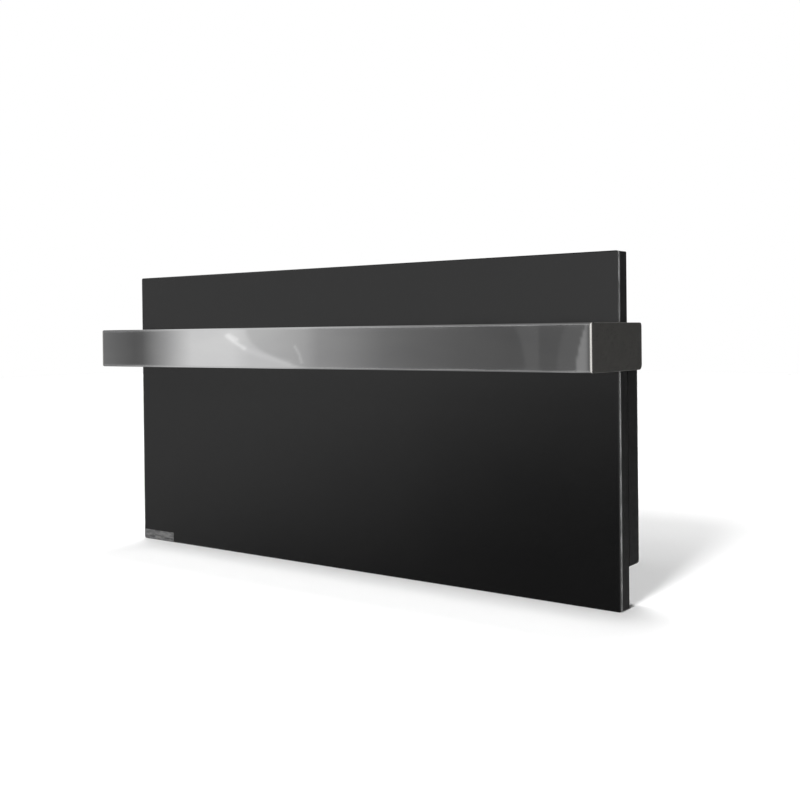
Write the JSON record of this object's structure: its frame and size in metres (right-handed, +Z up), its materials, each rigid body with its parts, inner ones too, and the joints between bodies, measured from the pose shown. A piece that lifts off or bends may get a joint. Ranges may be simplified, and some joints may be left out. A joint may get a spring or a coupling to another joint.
{
  "type": "wall panel heater",
  "caption": "Wall-hung flat glass panel heater with a polished flat towel bar on side arms, a shallow rear housing, a side thermostat and switch, and hook-on wall brackets.",
  "frame": {"origin": "centre of the four wall-fixing holes, on the wall's surface; the panel's mid-height and mid-width", "axes": "+X along the wall to the right as seen from the room, +Y into the wall, +Z up"},
  "size_m": [1.0204, 0.155, 0.5],
  "materials": {
    "black_glass": "polished, printed black on the back",
    "brushed_badge": "brushed",
    "silicone_black": "satin",
    "powder_black": "fine-texture powder coat",
    "film": "satin",
    "copper": "drawn",
    "foil": "bright, lightly creased",
    "wool": "needled ceramic felt",
    "ceramic": "matte",
    "zinc_steel": "zinc plated",
    "black_screw": "black zinc",
    "terminal_plastic": "satin",
    "brass": "turned",
    "gland_plastic": "satin",
    "rubber": "matte",
    "switch_plastic": "satin",
    "rocker_gloss": "gloss",
    "knob_plastic": "satin, ribbed",
    "wire_brown": "silicone insulation",
    "wire_black": "silicone insulation",
    "wire_red": "silicone insulation",
    "wire_blue": "silicone insulation",
    "wire_green": "silicone insulation",
    "polished_steel": "mirror polished stainless",
    "arm_steel": "fine brushed stainless",
    "bar_fitting": "milled",
    "bracket_steel": "zinc plated",
    "liner_nylon": "moulded"
  },
  "bodies": {
    "wall_mount": {"wall_bracket_left": "bracket_steel", "wall_bracket_right": "bracket_steel", "hook_liners": "liner_nylon"},
    "heater": {"front_glass": "black_glass", "name_badge": "brushed_badge", "bonding_frame": "silicone_black", "casing_tray": "powder_black", "heating_film": "film", "film_busbars": "copper", "reflector_foil": "foil", "insulation_blanket": "wool", "spacer_pads": "wool", "overheat_limiter": "ceramic", "rivet_nuts": "zinc_steel", "lead_grommet": "rubber", "rear_housing": "powder_black", "housing_screws": "black_screw", "terminal_cover": "powder_black", "terminal_cover_screws": "black_screw", "terminal_block": "terminal_plastic", "terminal_screws": "brass", "earth_stud": "zinc_steel", "earth_nut": "brass", "cable_gland_body": "gland_plastic", "gland_seal": "rubber", "gland_cap": "gland_plastic", "gland_locknut": "gland_plastic", "rocker_switch_body": "switch_plastic", "thermostat_body": "switch_plastic", "thermostat_screws": "black_screw", "sensor_bulb": "copper", "sensor_clips": "zinc_steel", "capillary_tube": "copper", "wire_switch_feed": "wire_brown", "wire_thermostat_feed": "wire_black", "lead_live": "wire_red", "lead_neutral": "wire_blue", "wire_earth": "wire_green", "towel_bar": "polished_steel", "bar_end_blocks": "bar_fitting", "bar_screws": "bar_fitting", "bar_arm_left": "arm_steel", "bar_arm_right": "arm_steel", "arm_studs": "zinc_steel", "arm_insulators": "rubber", "arm_washers": "zinc_steel", "arm_nuts": "zinc_steel", "wall_buffers": "rubber"},
    "rocker": {"rocker": "rocker_gloss"},
    "knob": {"thermostat_knob": "knob_plastic", "thermostat_spindle": "zinc_steel"}
  },
  "joints": [
    {"name": "heater_lift", "type": "slide", "parent": "wall_mount", "child": "heater", "axis": [0, 0, 1], "range_m": [0, 0.012]},
    {"name": "rocker_pivot", "type": "hinge", "parent": "heater", "child": "rocker", "pos_m": [-0.4984, -0.024, -0.15], "axis": [0, 1, 0], "range_deg": [0, 16]},
    {"name": "knob_turn", "type": "hinge", "parent": "heater", "child": "knob", "pos_m": [-0.5, -0.024, -0.095], "axis": [1, 0, 0], "range_deg": [0, 270]}
  ]
}
